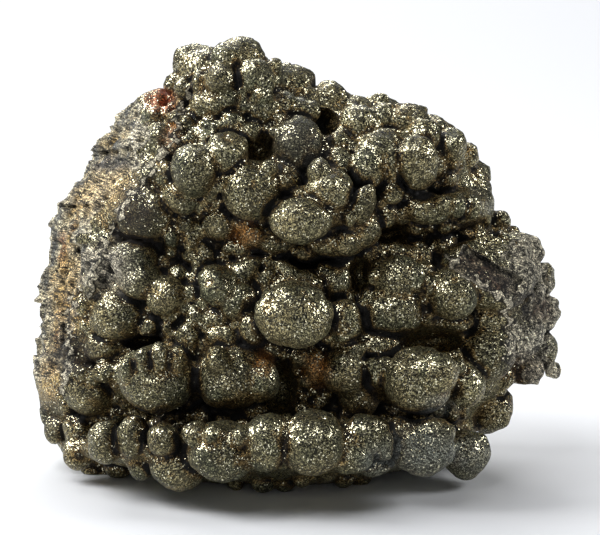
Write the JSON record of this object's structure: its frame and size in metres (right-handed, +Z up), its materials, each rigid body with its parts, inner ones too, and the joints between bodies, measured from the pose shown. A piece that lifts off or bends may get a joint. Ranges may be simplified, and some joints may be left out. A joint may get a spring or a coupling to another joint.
{
  "type": "marcasite nodule",
  "caption": "Free-standing marcasite nodule with rounded metallic lumps, broken on its left and back, resting on a small flat spot.",
  "frame": {"origin": "centre of the nodule's box, at the height of the flat spot that it rests on", "axes": "+Z up, -Y towards the side with the rounded lumps that the picture shows, +X to that view's right"},
  "size_m": [0.1064, 0.0709, 0.0862],
  "materials": {
    "marcasite": "tarnished metallic crystal crust, bronze to olive grey"
  },
  "bodies": {
    "root": {"nodule": "marcasite"}
  },
  "joints": []
}
